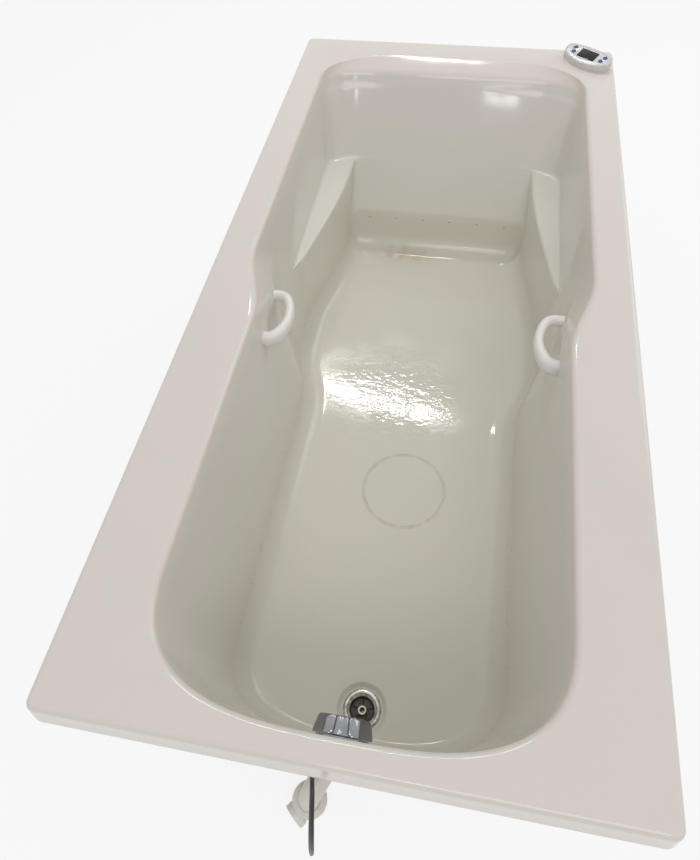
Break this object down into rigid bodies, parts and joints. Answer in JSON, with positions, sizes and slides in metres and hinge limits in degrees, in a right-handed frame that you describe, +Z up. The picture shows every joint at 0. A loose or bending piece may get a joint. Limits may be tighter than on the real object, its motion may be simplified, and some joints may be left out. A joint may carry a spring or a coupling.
{
  "type": "freestanding bathtub",
  "caption": "Rectangular acrylic air bath on a steel leg frame, with grab handles, armrests, deck keypad, pop-up waste, knob overflow and bottle trap.",
  "frame": {"origin": "on the floor under the middle of the whole object (rim, pull cable and trap included)", "axes": "+X to the seated bather's left, the keypad's side; +Y towards the head end; +Z up"},
  "size_m": [0.814, 1.801, 0.6063],
  "materials": {
    "acrylic": "glossy sanitary acrylic",
    "chipboard": "raw chipboard",
    "batten_wood": "planed softwood",
    "frame_steel": "grey powder coat",
    "foot_rubber": "matt black",
    "zinc_steel": "zinc plated",
    "handle_plastic": "satin gloss white",
    "drain_steel": "polished stainless steel",
    "strainer_plastic": "dark grey",
    "lifter_brass": "dull",
    "seal_rubber": "matt",
    "waste_plastic": "off-white polypropylene",
    "knob_chrome": "bright chrome",
    "spindle_metal": "dull",
    "hose_plastic": "pale grey corrugated hose",
    "cable_sheath": "black sheath",
    "air_fitting": "white",
    "blower_plastic": "dark grey",
    "tray_steel": "galvanised",
    "box_plastic": "light grey",
    "keypad_plastic": "glossy white",
    "keypad_foil": "silvery white foil",
    "lcd_glass": "dark liquid crystal window",
    "button_rubber": "blue-grey keys"
  },
  "bodies": {
    "bath": {"tub_shell": "acrylic", "base_board": "chipboard", "rim_batten_left": "batten_wood", "rim_batten_right": "batten_wood", "frame_rail_left": "frame_steel", "frame_rail_right": "frame_steel", "frame_cross_foot": "frame_steel", "frame_cross_middle": "frame_steel", "frame_cross_head": "frame_steel", "upright_foot_left": "frame_steel", "upright_foot_right": "frame_steel", "upright_head_left": "frame_steel", "upright_head_right": "frame_steel", "foot_pad_1": "foot_rubber", "foot_pad_2": "foot_rubber", "foot_pad_3": "foot_rubber", "foot_pad_4": "foot_rubber", "foot_pad_5": "foot_rubber", "foot_pad_6": "foot_rubber", "foot_studs": "zinc_steel", "foot_nuts": "zinc_steel", "grab_handle_left": "handle_plastic", "grab_handle_right": "handle_plastic", "handle_bolts": "zinc_steel", "drain_flange": "drain_steel", "drain_strainer": "strainer_plastic", "drain_gasket": "seal_rubber", "waste_body": "waste_plastic", "trap_elbow": "waste_plastic", "trap_union_nut": "waste_plastic", "trap_cup": "waste_plastic", "trap_outlet": "waste_plastic", "overflow_plate": "knob_chrome", "overflow_gasket": "seal_rubber", "overflow_body": "waste_plastic", "overflow_hose": "hose_plastic", "pull_cable": "cable_sheath", "air_jets": "air_fitting", "air_hose": "hose_plastic", "air_tee": "air_fitting", "blower_hose": "hose_plastic", "blower": "blower_plastic", "blower_tray": "tray_steel", "control_box": "box_plastic", "keypad_housing": "keypad_plastic", "keypad_face": "keypad_foil", "keypad_screen": "lcd_glass", "keypad_nut": "keypad_plastic"},
    "waste_knob": {"overflow_knob": "knob_chrome", "knob_spindle": "spindle_metal"},
    "lifter": {"plug_lifter": "lifter_brass"},
    "key_1": {"button_1": "button_rubber"},
    "key_2": {"button_2": "button_rubber"},
    "key_3": {"button_3": "button_rubber"},
    "key_4": {"button_4": "button_rubber"}
  },
  "joints": [
    {"name": "waste_knob_turn", "type": "hinge", "parent": "bath", "child": "waste_knob", "pos_m": [0, -0.76428, 0.505], "axis": [0, 0.9976, 0.0698], "range_deg": [0, 90]},
    {"name": "plug_lift", "type": "slide", "parent": "bath", "child": "lifter", "axis": [0, 0, 1], "range_m": [0, 0.012]},
    {"name": "key_1_press", "type": "slide", "parent": "bath", "child": "key_1", "axis": [0.1193, 0.1703, -0.9781], "range_m": [0, 0.0008], "stiffness_N_per_m": 600, "springref_m": -0.0005},
    {"name": "key_2_press", "type": "slide", "parent": "bath", "child": "key_2", "axis": [0.1193, 0.1703, -0.9781], "range_m": [0, 0.0008], "stiffness_N_per_m": 600, "springref_m": -0.0005},
    {"name": "key_3_press", "type": "slide", "parent": "bath", "child": "key_3", "axis": [0.1193, 0.1703, -0.9781], "range_m": [0, 0.0008], "stiffness_N_per_m": 600, "springref_m": -0.0005},
    {"name": "key_4_press", "type": "slide", "parent": "bath", "child": "key_4", "axis": [0.1193, 0.1703, -0.9781], "range_m": [0, 0.0008], "stiffness_N_per_m": 600, "springref_m": -0.0005}
  ],
  "couplings": [
    {"joint": "plug_lift", "follows": "waste_knob_turn", "m_per_rad": 0.0076394}
  ]
}
